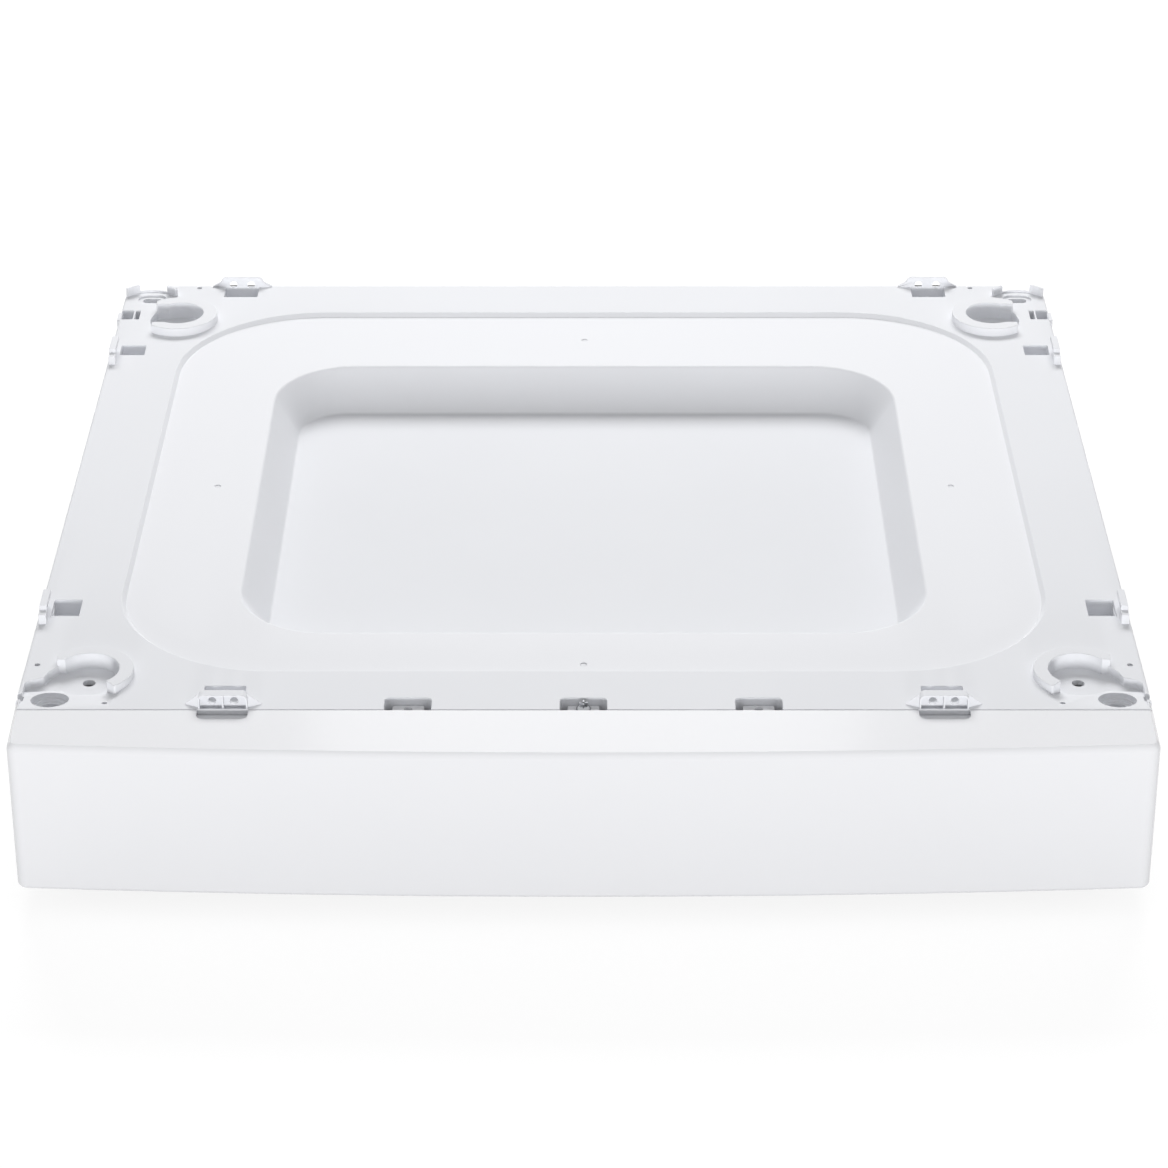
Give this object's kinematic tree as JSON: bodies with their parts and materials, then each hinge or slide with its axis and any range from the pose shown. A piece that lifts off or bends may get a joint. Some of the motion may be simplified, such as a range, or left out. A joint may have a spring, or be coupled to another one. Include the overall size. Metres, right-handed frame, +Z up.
{
  "type": "washer pedestal drawer",
  "caption": "Low laundry pedestal: a moulded top tray with foot cups, a drip pan and fixing plates on a sheet-steel chassis, and a shallow drawer pulled out by its bowed front panel.",
  "frame": {"origin": "on the floor, under the middle of the unit's plan", "axes": "+Z up, +X to the right seen from the front, -Y towards the front panel; the drawer opens along -Y"},
  "size_m": [0.597, 0.589, 0.1085],
  "materials": {
    "tray": "fine satin grain, moulded",
    "front": "smooth gloss",
    "box": "satin, moulded",
    "panel": "white powder coat",
    "steel": "zinc plated",
    "screw": "zinc plated",
    "cage": "pressed strip with steel balls",
    "rubber": "moulded"
  },
  "bodies": {
    "housing": {"top_tray": "tray", "side_panel_right": "panel", "side_panel_left": "panel", "rear_panel": "panel", "front_beam": "panel", "rear_beam": "panel", "front_floor_rail": "panel", "rear_floor_rail": "panel", "foot_front_left": "rubber", "foot_screw_front_left": "screw", "foot_rear_left": "rubber", "foot_screw_rear_left": "screw", "foot_front_right": "rubber", "foot_screw_front_right": "screw", "foot_rear_right": "rubber", "foot_screw_rear_right": "screw", "tray_screw_1": "screw", "tray_screw_2": "screw", "tray_screw_3": "screw", "tray_screw_4": "screw", "rear_panel_screw_left_1": "screw", "rear_panel_screw_left_2": "screw", "rear_panel_screw_right_1": "screw", "rear_panel_screw_right_2": "screw", "slide_outer_left": "steel", "slide_buffer_left": "rubber", "slide_screw_outer_left_1": "screw", "slide_screw_outer_left_2": "screw", "slide_outer_right": "steel", "slide_buffer_right": "rubber", "slide_screw_outer_right_1": "screw", "slide_screw_outer_right_2": "screw"},
    "drawer": {"drawer_front": "front", "drawer_box": "box", "front_panel_screw_1": "screw", "front_panel_screw_2": "screw", "front_panel_screw_3": "screw", "front_panel_screw_4": "screw", "front_fixing_screw": "screw", "slide_inner_left": "steel", "slide_screw_inner_left_1": "screw", "slide_screw_inner_left_2": "screw", "slide_inner_right": "steel", "slide_screw_inner_right_1": "screw", "slide_screw_inner_right_2": "screw"},
    "middle_left": {"slide_middle_left": "steel"},
    "outer_cage_left": {"ball_cage_outer_left": "cage"},
    "inner_cage_left": {"ball_cage_inner_left": "cage"},
    "middle_right": {"slide_middle_right": "steel"},
    "outer_cage_right": {"ball_cage_outer_right": "cage"},
    "inner_cage_right": {"ball_cage_inner_right": "cage"}
  },
  "joints": [
    {"name": "drawer_slide", "type": "slide", "parent": "housing", "child": "drawer", "axis": [0, -1, 0], "range_m": [0, 0.4]},
    {"name": "middle_slide_left", "type": "slide", "parent": "housing", "child": "middle_left", "axis": [0, -1, 0], "range_m": [0, 0.2]},
    {"name": "outer_cage_slide_left", "type": "slide", "parent": "housing", "child": "outer_cage_left", "axis": [0, -1, 0], "range_m": [0, 0.1]},
    {"name": "inner_cage_slide_left", "type": "slide", "parent": "housing", "child": "inner_cage_left", "axis": [0, -1, 0], "range_m": [0, 0.3]},
    {"name": "middle_slide_right", "type": "slide", "parent": "housing", "child": "middle_right", "axis": [0, -1, 0], "range_m": [0, 0.2]},
    {"name": "outer_cage_slide_right", "type": "slide", "parent": "housing", "child": "outer_cage_right", "axis": [0, -1, 0], "range_m": [0, 0.1]},
    {"name": "inner_cage_slide_right", "type": "slide", "parent": "housing", "child": "inner_cage_right", "axis": [0, -1, 0], "range_m": [0, 0.3]}
  ],
  "couplings": [
    {"joint": "middle_slide_left", "follows": "drawer_slide", "ratio": 0.5},
    {"joint": "outer_cage_slide_left", "follows": "drawer_slide", "ratio": 0.25},
    {"joint": "inner_cage_slide_left", "follows": "drawer_slide", "ratio": 0.75},
    {"joint": "middle_slide_right", "follows": "drawer_slide", "ratio": 0.5},
    {"joint": "outer_cage_slide_right", "follows": "drawer_slide", "ratio": 0.25},
    {"joint": "inner_cage_slide_right", "follows": "drawer_slide", "ratio": 0.75}
  ]
}
